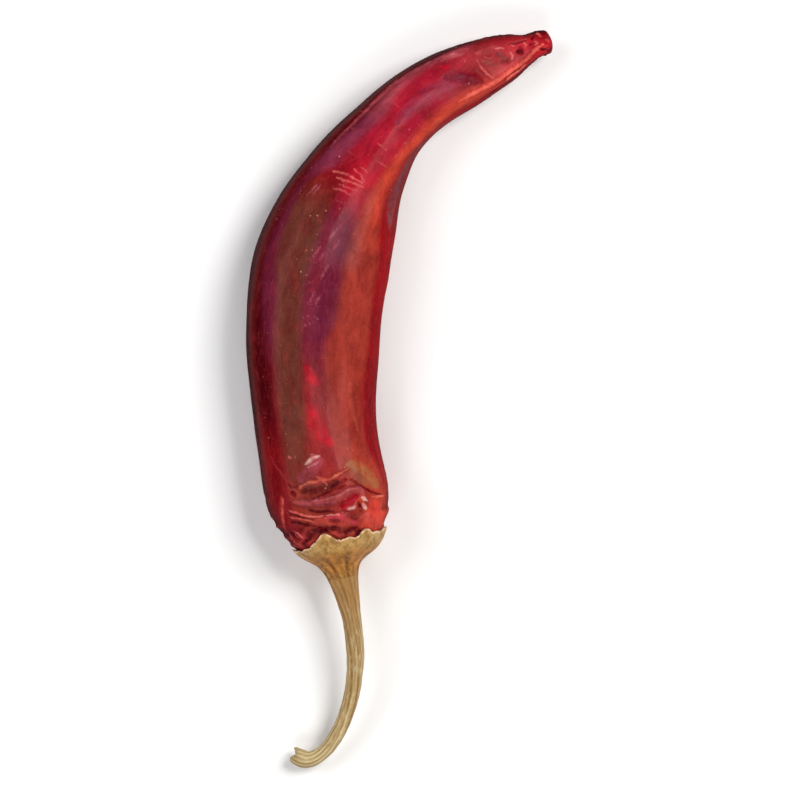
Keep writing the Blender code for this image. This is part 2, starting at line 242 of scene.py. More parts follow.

# Creases, crests and marks on the skin, each a line through (angle, distance) knots: its half
# width, how far it stands out, its colour and how much of that colour shows. Many pale lines and
# glints among them are painted highlights, and many dark creases and hollows painted shade.
MARKS = (
    # The right of the shoulder: a bronze terrace, its dark edge in painted shade, the orange slope
    # below it and a painted highlight along the slope's top.
    (((64, 15.4), (56, 13.4), (48, 11.2), (38, 8.8)), 2.6, 0.10, BRONZE, 0.95),
    (((62, 12.6), (55, 11.0), (48, 9.6)), 1.3, 0.05, (150, 82, 56), 0.9),
    (((49, 5.7), (40, 3.6), (30, 1.8)), 2.8, 0.20, (226, 70, 58), 0.85),
    (((57, 3.7), (51, 2.1)), 1.1, 0.10, (220, 94, 90), 0.6),
    (((66, 11.6), (60, 10.3), (53, 9.0), (43, 7.6), (31, 6.7)), 0.40, -0.16, OXBLOOD, 0.8),
    (((48.5, 6.9), (38.6, 6.7), (28, 6.6)), 0.32, 0.25, (244, 130, 104), 0.85),
    # A thin pale crest, its paleness partly painted highlight, over a deep recess and a line under it
    # darkened with painted shade, then a raised mauve fold that is partly painted sheen of the sky, with
    # a painted highlight along its top.
    (((112, 11.5), (98, 11.1), (88, 11.3), (78, 11.9)), 1.5, -0.45, (120, 50, 38), 0.95),
    (((86, 10.9), (78, 11.3), (70, 11.9)), 0.7, -0.25, DARK, 0.8),
    (((115, 12.2), (109, 12.8), (102, 13.1), (97, 12.9), (93, 13.3), (85, 12.8), (75, 13.5), (65, 14.3)),
     0.45, 0.30, PALE, 0.8),
    (((92, 13.0), (88, 11.5)), 0.3, 0.20, PINK, 0.6),
    (((105, 9.5), (96, 9.7), (90, 10.0), (80, 10.5), (72, 10.7)), 0.42, -0.30, DARK, 0.8),
    (((122, 9.7), (114, 9.0), (104, 8.5), (95, 8.3), (82, 8.2), (74, 8.9), (67, 9.4), (60, 9.1), (56, 7.7)),
     1.4, 0.55, (146, 66, 76), 0.95),
    (((104, 8.8), (92, 8.7), (80, 8.9), (70, 9.7), (62, 9.6)), 0.30, 0.12, (214, 130, 128), 0.6),
    # The crimson dimple under it, with painted glints round it and painted shade in and beside it.
    (((80, 6.3), (71.7, 7.0), (62.5, 7.8)), 1.25, -0.35, (224, 6, 50), 1.0),
    (((79, 5.3), (73, 5.0)), 0.4, -0.15, (150, 0, 20), 0.6),
    (((73.2, 5.5), (70, 5.6), (67, 5.9)), 0.55, 0.15, (250, 190, 186), 0.9),
    (((58.0, 7.3), (56.8, 7.0), (53.5, 6.2)), 0.50, 0.15, (250, 196, 186), 0.9),
    (((58.8, 5.9), (57, 5.2), (55.5, 4.6)), 0.50, 0.15, (250, 186, 176), 0.9),
    (((62.5, 6.6), (61.5, 5.6), (60.5, 4.4)), 0.45, -0.30, OXBLOOD, 0.85),
    # Fine wrinkles that fan out at the left and below, their pale lines painted highlights and the
    # dark hollows between them painted shade.
    (((112.3, 7.1), (100.8, 6.3), (87.1, 5.8)), 0.50, -0.35, DARK, 0.9),
    (((130, 8.1), (120.2, 6.8), (108.8, 5.6), (98.6, 5.2)), 0.36, 0.28, (228, 112, 102), 0.9),
    (((131.6, 7.4), (122, 6.3), (112, 5.3)), 0.34, -0.30, DARK, 0.85),
    (((133.2, 6.6), (123.7, 5.8), (115.3, 5.1), (107.3, 4.2)), 0.32, 0.25, (216, 96, 82), 0.9),
    (((134, 5.4), (125, 4.7), (116, 4.0), (109, 3.3)), 0.55, -0.45, (110, 22, 20), 0.85),
    (((98.1, 4.7), (90.1, 4.5), (82.7, 4.3), (75.4, 3.3), (62.5, 1.9)), 1.0, 0.40, (194, 60, 76), 0.9),
    (((97, 5.2), (90, 5.0), (83, 4.8)), 0.26, 0.10, (242, 164, 154), 0.75),
    (((80, 2.6), (72, 2.1), (63, 1.3)), 0.35, 0.20, (160, 26, 40), 0.7),
    (((133, 11.4), (137, 9.2), (141.4, 6.9), (149.4, 3.8)), 1.0, 0.15, (198, 54, 52), 0.6),
    (((132, 11.0), (136.5, 8.8), (141, 6.6), (145, 4.6)), 0.30, 0.12, (228, 116, 104), 0.7),
    (((137.2, 3.3), (132.9, 2.4), (131.2, 1.3)), 0.38, 0.30, (228, 124, 116), 0.85),
    (((147.6, 2.9), (148.4, 1.4), (143.4, 0.2), (137.7, -0.4)), 0.40, 0.35, (230, 128, 122), 0.85),
    (((143, 3.2), (141, 1.9), (136, 0.9)), 0.45, -0.40, DARK, 0.85),
    # The hollow along the calyx's rim, darkened with painted shade.
    (((141.4, -0.5), (122.2, 1.0), (105.3, 2.2), (90.9, 2.0), (82.9, 1.1), (69.2, 0.8), (55.3, 0),
      (46.1, 0)), 1.2, -0.80, (62, 0, 6), 0.97),
    (((126, 1.6), (110, 2.6), (97, 2.7)), 1.4, -0.30, (74, 0, 8), 0.95),
    (((179.5, 0.9), (172.3, -0.7), (151.9, -1.4)), 1.2, -0.20, BLACKISH, 0.97),
    # The left of the shoulder: a low pale line, dark pits in painted shade, and a painted glint with a
    # soft painted sheen round it.
    (((138, 19.5), (135.7, 18.3), (130.5, 16.7), (127.2, 15.3), (124.7, 13.9), (122.5, 12.6)),
     0.40, 0.08, (166, 50, 60), 0.3),
    (((124, 13.6), (121, 12.9), (115, 12.4)), 0.45, -0.20, DARK, 0.75),
    (((121, 11.8), (119.5, 10.8)), 0.7, -0.40, OXBLOOD, 0.9),
    (((104, 16.9), (100.3, 17.4), (95.1, 17.9), (89, 18.3)), 0.55, 0.12, (250, 196, 188), 1.0),
    (((102, 16.1), (97.6, 16.6), (91, 17.1)), 0.32, 0.06, (240, 166, 158), 0.85),
    (((99, 18.5), (94, 18.9)), 0.28, 0.06, (240, 166, 158), 0.7),
    (((119, 18.9), (116, 18.6)), 0.30, 0.05, PINK, 0.6),
    (((112, 13.9), (104, 14.8), (96, 16.2), (90, 17.6)), 1.9, -0.05, (190, 86, 104), 0.55),
    (((53.5, 34), (53.5, 30.5), (50, 26), (46.6, 22)), 0.7, 0.10, (190, 84, 64), 0.35),
    # The two blotches on the lower body.
    (((94, 38), (89, 35.6), (86, 34)), 1.7, 0.0, SCARLET, 0.75),
    (((92, 29), (89, 25), (84, 22.5), (77, 20.5)), 2.1, 0.0, SCARLET, 0.7),
    # A grey patch of painted sheen in the hollow of the bend, and a mauve one beyond it, partly
    # painted sheen over the skin's colour.
    (((30, 74), (35, 80), (33, 88), (26, 97)), 2.3, 0.0, GREY, 0.8),
    (((86, 96), (87, 103), (87, 109), (84, 115)), 2.4, -0.10, (158, 46, 74), 0.85),
    # A pale streak of painted sheen along the outer side of the bend.
    (((135, 84), (134, 94), (136, 100), (140, 108), (140, 114), (135, 118)), 0.7, 0.05, ROSE, 0.65),
    # Fine scratches on the body.
    (((97, 46.5), (88, 47.6)), 0.24, 0.0, SCRATCH, 0.5),
    (((99, 48.3), (91, 49.0), (84, 48.2)), 0.24, 0.0, SCRATCH, 0.55),
    (((95, 51.6), (90, 54.5)), 0.22, 0.0, SCRATCH, 0.5),
    (((91, 50.5), (86, 53.8)), 0.22, 0.0, SCRATCH, 0.45),
    (((100, 55.4), (93, 56.8)), 0.24, 0.0, SCRATCH, 0.5),
    (((88, 57.0), (84, 60.4)), 0.22, 0.0, SCRATCH, 0.5),
    (((93, 60.5), (89, 63.4)), 0.22, 0.0, SCRATCH, 0.45),
    (((84, 63.8), (80, 67.0)), 0.22, 0.0, SCRATCH, 0.45),
    (((90, 66.0), (85, 69.0)), 0.24, 0.0, SCRATCH, 0.5),
    (((98, 61.6), (94, 64.4)), 0.22, 0.0, SCRATCH, 0.4),
    (((124, 73.0), (120, 76.0)), 0.24, 0.0, SCRATCH, 0.5),
    (((119, 73.6), (116, 76.4)), 0.22, 0.0, SCRATCH, 0.4),
    # Scuffs across the bend.
    (((114, 79.9), (98, 80.6), (80, 80.6)), 0.36, 0.04, SCUFF, 0.75),
    (((107.6, 78.9), (92, 79.5), (76, 79.8)), 0.36, 0.04, SCUFF, 0.8),
    (((102.8, 78.0), (90, 78.2), (80.7, 78.4)), 0.28, 0.03, SCUFF, 0.65),
    (((106, 76.6), (96, 77.0), (87, 77.0)), 0.28, 0.03, SCUFF, 0.6),
    (((97, 82.2), (88, 82.0), (78, 81.0)), 0.28, 0.05, SCUFF, 0.6),
    (((90, 83.4), (80, 83.2)), 0.24, 0.04, SCUFF, 0.5),
    (((94.4, 90.1), (77.7, 89.7)), 0.20, 0.04, SCUFF, 0.5),
    (((82.4, 86.3), (63.7, 86.6)), 0.20, 0.04, SCUFF, 0.5),
    (((96, 74.6), (84, 75.0)), 0.20, 0.04, SCUFF, 0.4),
    # The far end: a ridge that forks, with painted highlights along it, an arched wrinkle, a dull
    # facet and pale nicks round a pit; its pits, creases and lower edge are darkened with painted shade.
    (((100, 110.5), (90, 113.5), (76, 115.5), (64, 117.6)), 1.9, -0.15, (112, 12, 42), 0.6),
    (((130.2, 111.6), (131.7, 114.0), (128.2, 116.5)), 0.9, 0.10, (216, 104, 112), 0.7),
    (((117.8, 111.0), (115.0, 112.4)), 0.9, 0.0, (206, 20, 46), 0.7),
    (((54.3, 112.4), (55.0, 115.6)), 0.5, -0.10, BROWN, 0.6),
    (((52.8, 110.7), (53.5, 115.6), (51.5, 120.2), (56.3, 124.2), (58.8, 128.5), (74.7, 131.3),
      (88.1, 133.5)), 0.75, 0.45, (238, 106, 88), 0.85),
    (((37.6, 122.8), (44.1, 124.0), (43.8, 125.9), (44.1, 128.3)), 0.55, 0.40, (246, 130, 112), 0.85),
    (((48, 121.8), (50.5, 124.6), (51, 128.0)), 0.4, -0.30, CRIMSON, 0.8),
    (((106.3, 118.5), (90.1, 118.7), (74.7, 119.2), (59.0, 120.3)), 0.38, 0.30, (214, 96, 96), 0.8),
    (((109.3, 120.1), (104, 120.3), (100.3, 121.3)), 0.30, 0.15, (204, 90, 92), 0.65),
    (((101.6, 122.9), (94, 123.9), (86, 124.2), (79.2, 124.9)), 1.3, -0.25, (172, 74, 74), 0.85),
    (((113.3, 123.1), (115.0, 124.1), (109.0, 125.0)), 0.34, 0.20, (230, 126, 124), 0.85),
    (((97.5, 125.7), (86.9, 126.1), (78.2, 125.7)), 0.34, 0.20, (232, 126, 122), 0.85),
    (((115.5, 126.4), (109.3, 127.3)), 0.42, 0.20, (226, 104, 102), 0.85),
    (((115.5, 129.3), (107.6, 129.9), (97.3, 129.3)), 0.40, 0.20, (222, 98, 96), 0.85),
    (((113.5, 131.7), (103.6, 132.2), (92.6, 131.7)), 0.42, 0.20, (228, 112, 104), 0.85),
    (((112.3, 134.4), (91.1, 134.9)), 0.42, 0.15, (222, 96, 92), 0.8),
    (((160, 132.9), (131.7, 133.7)), 0.45, 0.20, (224, 96, 92), 0.8),
    (((94, 127.2), (90, 128.2), (85, 128.4)), 0.9, -0.45, (116, 4, 26), 0.9),
    (((107, 128.5), (100, 128.3)), 0.45, -0.20, (150, 8, 30), 0.8),
    (((110, 130.9), (99, 130.7)), 0.45, -0.20, (150, 8, 30), 0.8),
    (((22, 118.5), (22, 123.8), (22, 128.3), (30, 132.6)), 1.1, -0.15, DARK, 0.8),
    (((50.8, 133.9), (55.5, 135.0)), 0.6, -0.25, BLACKISH, 0.8),
    (((103.8, 133.6), (84, 134.2), (68.5, 134.4)), 0.5, 0.0, (206, 22, 34), 0.8),
    (((128, 130.4), (120, 128.2), (117, 126.0)), 0.5, -0.25, OXBLOOD, 0.75),
    (((70, 132.6), (62, 134.0)), 0.45, -0.35, BLACKISH, 0.8),
    (((126, 131.2), (140, 131.8)), 0.5, -0.30, DARK, 0.75),
    (((96, 119.8), (86, 121.0), (74, 122.2)), 0.8, -0.10, (180, 84, 80), 0.7),
    (((120, 118.6), (117, 121.0), (119, 123.6)), 0.9, 0.10, (194, 76, 80), 0.6),
)

# Crests made brighter and hollows darkened with painted shade, little and large: how many points
# apart skin is compared, how far out shows in full, and how strongly crests and hollows show.
CREST_AND_HOLLOW_SHADE = (((1, 2, 3), 0.16, 0.14, 0.42), ((3, 5, 8, 12), 0.5, 0.08, 0.5))
CREST = (232, 92, 84)
HOLLOW_SHADE = (58, 0, 8)

# Blotches, streaks and scratches over the bands: how far the noise is squeezed along x, y and z, its
# detail, roughness and distortion, which of it shows, how strongly, and in which colour.
SKIN_LAYERS = (
    ((0.30, 0.30, 0.15), (8.0, 0.70, 0.4), (0.42, 0.66), 0.50, (80, 2, 14)),
    ((0.8, 0.8, 0.34), (6.0, 0.68, 0.6), (0.52, 0.78), 0.28, (196, 54, 56)),
    ((2.8, 2.8, 0.26), (5.0, 0.66, 0.0), (0.50, 0.82), 0.20, (190, 84, 76)),
    ((1.9, 1.9, 0.5), (6.0, 0.7, 0.0), (0.50, 0.76), 0.34, (62, 0, 12)),
    ((0.5, 0.5, 4.6), (3.0, 0.6, 0.5), (0.64, 0.78), 0.40, (206, 110, 104)),
)
FLECK = (232, 150, 134)

# The calyx's and the stem's colours.
PAPER = (196, 156, 92)
PAPER_GOLD = (216, 142, 60)
PAPER_NECK = (172, 122, 62)
PAPER_GROOVE = (116, 66, 18)
PAPER_EDGE = (250, 208, 168)
PAPER_INSIDE = (120, 70, 40)

STRAW_NECK = (176, 126, 66)
STRAW = (188, 156, 102)
STRAW_END = (206, 184, 132)
STRAW_PALE = (226, 206, 158)
STRAW_DULL = (156, 126, 76)
STRAW_GROOVE = (122, 84, 38)

# How fine the meshes are: points round each, and the steps along the pod by distance.
POD_SIDES = 320
POD_SPACING = (
    (0, 0.22), (18, 0.26), (30, 0.50), (42, 0.40), (68, 0.40), (75, 0.26), (86, 0.26), (94, 0.50),
    (106, 0.34), (134, 0.22),
)
DOME_RINGS = 8
DOME_SHARE = 0.98
TIP_RINGS = 6
TIP_TURN = 1.5
CALYX_SIDES = 384
CALYX_OUTER_RINGS = 60
CALYX_INNER_RINGS = 40
CALYX_INNER_START = 0.985
STEM_SIDES = 96
STEM_STEP = 0.3
STEM_HOOK_STEP = 0.16

# The height of the fine creases, the skin's bulge past the rim, and a mark's width at its ends.
CRUMPLE_HEIGHT = 0.5
RIM_BULGE = 0.55
MARK_ENDS = 0.3

# The floor and the light, in metres and watts: each light's name, place, size, power and colour.
FLOOR_REACH = 3.0
FLOOR_TONES = ((0.94, 0.94, 0.94), (0.96, 0.96, 0.96))
SKY_COLOUR = (0.93, 0.95, 1.0, 1.0)
SKY_STRENGTH = 0.12
LIT_PLACE = (0.0, 0.0, 0.01)
LIGHTS = (
    ("key", (0.62, 0.34, 1.08), (0.60, 0.60), 11.5, (1.0, 0.98, 0.95)),
    ("glint", (0.42, 0.30, 1.15), (0.16, 0.10), 0.9, (1.0, 0.99, 0.97)),
    ("fill", (-0.80, 0.30, 1.05), (0.90, 0.70), 6.5, (0.97, 0.98, 1.0)),
    ("front", (-0.10, -0.95, 1.00), (0.90, 0.60), 6.0, (1.0, 1.0, 1.0)),
)


def curve(knots, places):
    """Values at the places on a smooth line through (place, value) knots that never overshoots one."""
    xs, ys = np.array(knots, float).T
    slopes = np.diff(ys) / np.diff(xs)
    same_way = slopes[:-1] * slopes[1:] > 0
    total = np.where(same_way, slopes[:-1] + slopes[1:], 1.0)
    inner = np.where(same_way, 2 * slopes[:-1] * slopes[1:] / total, 0.0)
    tangents = np.concatenate([slopes[:1], inner, slopes[-1:]])
    x = np.clip(places, xs[0], xs[-1])
    i = np.clip(np.searchsorted(xs, x, side="right") - 1, 0, len(xs) - 2)
    span = xs[i + 1] - xs[i]
    t = (x - xs[i]) / span
    before = (1 + 2 * t) * (1 - t) ** 2 * ys[i] + t * (1 - t) ** 2 * span * tangents[i]
    return before + t * t * (3 - 2 * t) * ys[i + 1] - t * t * (1 - t) * span * tangents[i + 1]


def ease(values, low, high):
    """0 below low and 1 above high, with a smooth rise between them."""
    t = np.clip((values - low) / (high - low), 0, 1)
    return t * t * (3 - 2 * t)


def between(values, low, high, fade):
    """1 well inside low to high, fading to 0 at both ends."""
    return ease(values, low, low + fade) * (1 - ease(values, high - fade, high))


def turned(angles, centre):
    """How far angles are from a centre the short way round, in degrees."""
    return (angles - centre + 180) % 360 - 180


def stations(spacing, first, last):
    """Distances from first to last, a step apart that the spacing knots give."""
    found = [first]
    while found[-1] < last:
        found.append(found[-1] + float(curve(spacing, found[-1])))
    found = np.array(found)
    return first + (found - first) * (last - first) / (found[-1] - first)


class Axis:
    """A line seen from above by its headings and from the side by its heights."""

    STEP = 0.05

    def __init__(self, headings, heights):
        self.heights = heights
        self.headings = headings
        self.at = np.arange(headings[0][0], headings[-1][0], self.STEP)
        way = np.radians(curve(headings, self.at))
        x = np.cumsum(np.cos(way)) * self.STEP
        y = np.cumsum(np.sin(way)) * self.STEP
        self.x = x - np.interp(0, self.at, x) + SEAT[0]
        self.y = y - np.interp(0, self.at, y) + SEAT[1]

    def place(self, along, side, rise):
        """Points beside and above the axis; side is to the right of the way that it runs."""
        along, side, rise = np.broadcast_arrays(along, side, rise)
        way = np.radians(curve(self.headings, along))
        x = np.interp(along, self.at, self.x) + np.sin(way) * side
        y = np.interp(along, self.at, self.y) - np.cos(way) * side
        z = curve(self.heights, along) + rise
        return np.stack([x, y, z], axis=-1)


def grain(points, spans, seed):
    """Smooth noise from -1 to 1 at each point, as wide as spans says each way."""
    scaled = points / np.array(spans) + seed * 17.3
    flat = scaled.reshape(-1, 3)
    found = np.fromiter((noise.noise(Vector(p)) for p in flat), float, len(flat))
    return found.reshape(points.shape[:-1])


def straight(along, around, radius):
    """Where places would be if the pod were straight, so that noise runs along it."""
    angle = np.radians(around)
    side, rise = radius * np.cos(angle), radius * np.sin(angle)
    return np.stack(np.broadcast_arrays(side, rise, along), axis=-1)


def under_calyx(along):
    """How wide the pod's end is under the calyx, as a share of its width at the rim."""
    return np.sqrt(np.clip(1 - (np.clip(-along, 0, DOME_DEPTH) / DOME_DEPTH) ** DOME_POWER, 0, 1))


def uneven(along, around, radius):
    """Slow swells and hollows, the same all the way round."""
    places = straight(along, around, radius) / np.array([1, 1, 1.6])
    return grain(places, (UNEVEN_SPAN,) * 3, 0) * UNEVEN_HEIGHT


def crumple(along, around, radius):
    """Sharp little creases where the skin dried hardest, at the shoulder and at the tip."""
    places = straight(along, around, radius)
    warp = grain(places, (7, 7, 7), 3)[..., None] * np.array([1.6, 1.6, 1.2])
    broad = 1 - np.abs(grain(places + warp, (6.5, 6.5, 3.2), 1)) * 2.2
    fine = 1 - np.abs(grain(places + warp, (3.0, 3.0, 1.6), 2)) * 2.2
    ridges = np.clip(broad, 0, 1) ** 3 * 0.7 + np.clip(fine, 0, 1) ** 3 * 0.35
    shoulder = 1 - ease(along, 5, 16)
    tip = ease(along, 108, 132) * 0.8
    # The shown side has its creases among the marks, so little is left for chance there.
    unmarked = 1 - 0.9 * between((around + 60) % 360, 40, 214, 24)
    return (ridges - 0.25) * CRUMPLE_HEIGHT * (shoulder + tip) * unmarked


def ripple(along, around, radius):
    """Shallow lengthwise ripples and dents over the whole pod."""
    places = straight(along, around, radius)
    long_ripples = grain(places, (2.6, 2.6, 26), 4) * 0.10
    dents = grain(places, (5.5, 5.5, 9), 5) * 0.16
    small = grain(places, (1.5, 1.5, 5.0), 6) * 0.035
    return long_ripples + dents + small - 0.1


def pod_relief(along, around, radius):
    """How far the dried skin stands out from the plain section, by crests, folds and puckers."""
    relief = uneven(along, around, radius)
    for knots, height, half_width in FLUTES:
        across = np.radians(turned(around, curve(knots, along))) * radius
        reach = between(along, knots[0][0], knots[-1][0], FLUTE_FADE)
        relief = relief + height * reach / (1 + (across / half_width) ** 2)
    for knots, height, half_width in FOLDS:
        across = along - curve(knots, around)
        reach = between(around, knots[0][0], knots[-1][0], FOLD_FADE)
        relief = relief + height * reach / (1 + (across / half_width) ** 2)
    pucker = np.abs(np.sin(np.radians(around * PUCKERS / 2 + 30)))
    relief = relief - PUCKER_DEPTH * (1 - pucker) * (1 - ease(along, 0, PUCKER_REACH))
    lobe = np.cos(np.radians((around - 66) * TIP_LOBES))
    relief = relief + TIP_LOBE_HEIGHT * lobe * ease(along, POD_TIP - TIP_LOBE_REACH, POD_TIP)
    relief = relief + crumple(along, around, radius) + ripple(along, around, radius)
    whole = [np.broadcast_to(part, relief.shape) for part in (along, around, radius)]
    for rows, reach, height, _, _ in each_mark(*whole):
        relief[rows] += height * reach
    past_rim = along - curve(CALYX_RIM, around)
    relief = relief + (RIM_BULGE - np.minimum(relief, 0) * 0.5) * between(past_rim, -0.2, 4.5, 1.4)
    tucked = 0.9 * (1 - ease(past_rim, -1.6, 0.1))
    return relief * ease(past_rim, -0.8, 1.2) - tucked


def pod_surface(rows, sides):
    """Rings of the pod's surface at the distances in rows, with each point's place and relief."""
    along = np.asarray(rows, float)[:, None]
    around = (np.arange(sides) * 360 / sides)[None, :]
    angle = np.radians(around)
    tip = np.sqrt(np.clip(1 - (np.maximum(along - POD_TIP + TIP_BLUNT, 0) / TIP_BLUNT) ** 2, 0, 1))
    ends = under_calyx(along) * tip
    half_width = curve(POD_HALF_WIDTHS, along) * ends
    half_height = curve(POD_HALF_HEIGHTS, along) * ends
    square = (np.abs(np.cos(angle)) ** BOXINESS + np.abs(np.sin(angle)) ** BOXINESS) ** (-1 / BOXINESS)
    side = half_width * np.cos(angle) * square
    rise = half_height * np.sin(angle) * square
    radius = (half_width + half_height) / 2
    relief = pod_relief(along, around, radius) * ends
    out_side = np.cos(angle) * half_height
    out_rise = np.sin(angle) * half_width
    length = np.hypot(out_side, out_rise) + 1e-9
    points = Axis(POD_HEADINGS, POD_HEIGHTS).place(
        along, side + relief * out_side / length, rise + relief * out_rise / length
    )
    points[..., 2] = np.maximum(points[..., 2], FLOOR)
    along, around = np.broadcast_arrays(along, around)
    return points, along, around, relief


def mixed(colours, colour, share):
    """Colours moved towards another colour by each place's share."""
    return colours + (colour - colours) * share[..., None]


def tone(knots, along):
    """The colour at each distance on a line through (distance, screen colour) knots."""
    at = [distance for distance, _ in knots]
    tones = np.array([rgb(*colour) for _, colour in knots])
    return np.stack([np.interp(along, at, tones[:, part]) for part in range(3)], axis=-1)


def mark_reach(knots, half_width, along, around, radius):
    """1 on the line through (angle, distance) knots, falling to 0 beside it and thinning at its ends."""
    knots = np.array(knots, float)
    count = np.arange(len(knots))
    fine = np.linspace(0, count[-1], 6 * count[-1] + 1)
    line = np.stack([curve(np.stack([count, knots[:, part]], -1), fine) for part in (0, 1)], -1)
    scale = np.radians(1.0) * radius
    nearest = np.full(along.shape, np.inf)
    for number, ((angle, distance), (next_angle, next_distance)) in enumerate(zip(line, line[1:])):
        way = (next_angle - angle) * scale, next_distance - distance
        off = turned(around, angle) * scale, along - distance
        part = np.clip((off[0] * way[0] + off[1] * way[1]) / (way[0] ** 2 + way[1] ** 2), 0, 1)
        full = np.sin(np.pi * (number + part) / (len(line) - 1))
        width = half_width * (MARK_ENDS + (1 - MARK_ENDS) * np.sqrt(np.maximum(full, 0)))
        nearest = np.minimum(nearest, np.hypot(off[0] - part * way[0], off[1] - part * way[1]) / width)
    return np.clip(1 - nearest ** 2, 0, 1) ** 2


def each_mark(along, around, radius):
    """For each mark, the rows that it touches, its reach there, its height, colour and strength."""
    places = straight(along, around, radius)
    sideways = grain(places, (1.8, 1.8, 1.8), 21) * 0.20 + grain(places, (0.6, 0.6, 0.6), 22) * 0.20
    lengthwise = grain(places, (1.7, 1.7, 1.7), 23) * 0.20 + grain(places, (0.6, 0.6, 0.6), 24) * 0.20
    around = around + np.degrees(sideways / radius)
    along = along + lengthwise
    lowest, highest = along.min(1), along.max(1)
    for knots, half_width, height, colour, strength in MARKS:
        distances = [distance for _, distance in knots]
        near = (highest > min(distances) - half_width) & (lowest < max(distances) + half_width)
        rows = np.flatnonzero(near)
        if len(rows):
            reach = mark_reach(knots, half_width, along[rows], around[rows], radius[rows])
            yield rows, reach, height, rgb(*colour), strength


def skin_colours(along, around, places, radius):
    """The colour of the skin: soft bands along the pod, painted shade on its flanks, then the marks."""
    wander = grain(places, (9, 9, 30), 8) * 6 + grain(places, (3, 3, 14), 9) * 3
    angle = (around + wander * ease(along, 12, 26)) % 360
    colours = tone(BANDS[0][1], along)
    blur = np.degrees(BAND_BLUR / radius)
    for starts, tones in BANDS[1:]:
        start = curve(starts, along)
        colours = mixed(colours, tone(tones, along), ease(angle, start - blur, start + blur))
    colours = mixed(colours, tone(BANDS[0][1], along), ease(angle, 338, 356))
    # Painted shade: the flank on the outer side is nearly black, and the one on the inner side dark.
    colours = mixed(colours, rgb(*FLANK_SHADE), 0.9 * between(around, 148, 210, 22))
    colours = mixed(colours, rgb(*INNER_SHADE), 0.6 * between((around + 60) % 360, 24, 70, 16))
    patchy = 0.86 + grain(places, (1.3, 1.3, 1.3), 25) * 0.7 + grain(places, (0.5, 0.5, 0.5), 26) * 0.5
    for rows, reach, _, colour, strength in each_mark(along, around, radius):
        share = np.minimum(1, reach * 1.4) * strength * patchy[rows]
        colours[rows] = mixed(colours[rows], colour, np.clip(share, 0, 1))
    return colours


def brighten_crests_shade_hollows(colours, relief):
    """Skin that is brighter on little crests and darker in hollows with painted shade, little and large."""
    for steps, scale, crest, hollow in CREST_AND_HOLLOW_SHADE:
        blurred = relief
        for step in steps:
            beside = np.roll(blurred, step, 1) + np.roll(blurred, -step, 1)
            ahead = np.concatenate([blurred[step:], np.repeat(blurred[-1:], step, 0)])
            behind = np.concatenate([np.repeat(blurred[:1], step, 0), blurred[:-step]])
            blurred = (blurred * 2 + beside + ahead + behind) / 6
        out = (relief - blurred) / scale
        colours = mixed(colours, rgb(*CREST), np.clip(out, 0, 1) * crest)
        colours = mixed(colours, rgb(*HOLLOW_SHADE), np.clip(-out, 0, 1) * hollow)
    return colours


def grooved(depth, around):
    """How deep in a groove of the stem each place is, from 0 to 1."""
    found = np.zeros(np.broadcast_shapes(np.shape(depth), np.shape(around)))
    for angle, strength in GROOVES:
        off = turned(around + STEM_TWIST * depth, angle) / GROOVE_WIDTH
        found = np.maximum(found, strength * np.exp(-off ** 2))
    return found


def cup_radius(depth, around):
    """How far the calyx or stem stands from its axis, with grooves that deepen towards the stem."""
    radius = curve(CUP, depth)
    groove = grooved(depth, around)
    deep = (0.10 + 0.22 * np.clip((radius - 1.6) / 2.6, 0, 1)) * ease(depth, 2.4, 7.5)
    swell = 0.20 * np.cos(np.radians(around * 5 + 40)) * (1 - ease(depth, 0.5, 6.0))
    return radius - deep * (groove - 0.25) + swell, groove


def cup_place(depth, side, rise):
    """Points round the calyx's axis near the rim and round the stem's beyond it."""
    near = Axis(POD_HEADINGS, POD_HEIGHTS).place(-depth, side, rise)
    far = Axis(STEM_HEADINGS, STEM_HEIGHTS).place(depth, -side, rise)
    share = ease(depth, 2.5, 7.0)[..., None]
    return near * (1 - share) + far * share


def loft(name, rings, first=None, last=None, joined=False):
    """A mesh over a grid of rings, its last ring joined to the first or an end closed on a point."""
    count, sides, _ = rings.shape
    points = [*rings.reshape(-1, 3)]
    here = (np.arange(count - 1)[:, None] * sides + np.arange(sides)[None, :]).ravel()
    beside = (np.arange(count - 1)[:, None] * sides + (np.arange(sides)[None, :] + 1) % sides).ravel()
    faces = np.stack([here, beside, beside + sides, here + sides], axis=-1).tolist()
    if first is not None:
        points.append(first)
        end = len(points) - 1
        faces += [(end, (side + 1) % sides, side) for side in range(sides)]
    if last is not None:
        points.append(last)
        end, top = len(points) - 1, (count - 1) * sides
        faces += [(top + side, top + (side + 1) % sides, end) for side in range(sides)]
    if joined:
        top = (count - 1) * sides
        faces += [(top + side, top + (side + 1) % sides, (side + 1) % sides, side) for side in range(sides)]
    mesh = bpy.data.meshes.new(name)
    mesh.from_pydata(np.array(points) * MM, [], faces)
    shape = bmesh.new()
    shape.from_mesh(mesh)
    bmesh.ops.recalc_face_normals(shape, faces=shape.faces)
    shape.to_mesh(mesh)
    shape.free()
    mesh.shade_smooth()
    return mesh


def keep(mesh, name, kind, field, values):
    """Keeps a row of values for each point; points that close an end take the last ring's mean."""
    layer = mesh.attributes.new(name, kind, "POINT")
    flat = values.reshape(-1, values.shape[-1])
    extra = len(mesh.vertices) - len(flat)
    if extra:
        flat = np.concatenate([flat, np.repeat(values[-1].mean(0)[None], extra, axis=0)])
    layer.data.foreach_set(field, flat.astype(np.float32).ravel())


def paint(mesh, name, colours):
    """Keeps an opaque colour for each point."""
    opaque = np.ones((*colours.shape[:-1], 1))
    keep(mesh, name, "FLOAT_COLOR", "color", np.concatenate([colours, opaque], axis=-1))


def lay(mesh, name, vectors):
    """Keeps a vector for each point, such as where it would be on a straight pod."""
    keep(mesh, name, "FLOAT_VECTOR", "vector", vectors)


